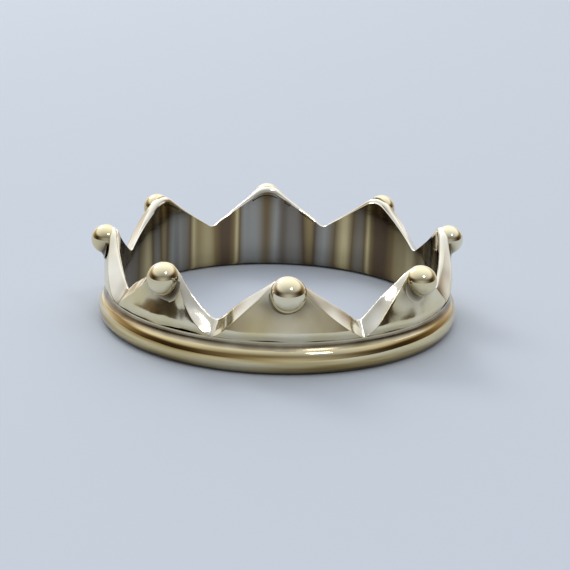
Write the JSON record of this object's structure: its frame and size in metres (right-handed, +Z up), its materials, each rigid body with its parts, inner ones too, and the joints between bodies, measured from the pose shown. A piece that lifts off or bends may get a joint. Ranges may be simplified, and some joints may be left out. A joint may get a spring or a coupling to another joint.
{
  "type": "crown ring",
  "caption": "Polished gold finger ring shaped as a pointed crown, with a ball of shot on each point, a bowed wire round the foot and soldered joints.",
  "frame": {"origin": "centre of the finger hole, on the plane of the foot that the ring stands on", "axes": "+Z up the finger hole towards the points, -Y out through the middle of one point"},
  "size_m": [0.0204, 0.0204, 0.005],
  "materials": {
    "polished_gold": "mirror polished pale yellow gold",
    "gold_solder": "polished gold solder, a shade paler than the ring"
  },
  "bodies": {
    "root": {"crown_band": "polished_gold", "base_wire": "polished_gold", "wire_solder": "gold_solder", "point_ball_1": "polished_gold", "point_ball_2": "polished_gold", "point_ball_3": "polished_gold", "point_ball_4": "polished_gold", "point_ball_5": "polished_gold", "point_ball_6": "polished_gold", "point_ball_7": "polished_gold", "point_ball_8": "polished_gold", "ball_solder_1": "gold_solder", "ball_solder_2": "gold_solder", "ball_solder_3": "gold_solder", "ball_solder_4": "gold_solder", "ball_solder_5": "gold_solder", "ball_solder_6": "gold_solder", "ball_solder_7": "gold_solder", "ball_solder_8": "gold_solder"}
  },
  "joints": []
}
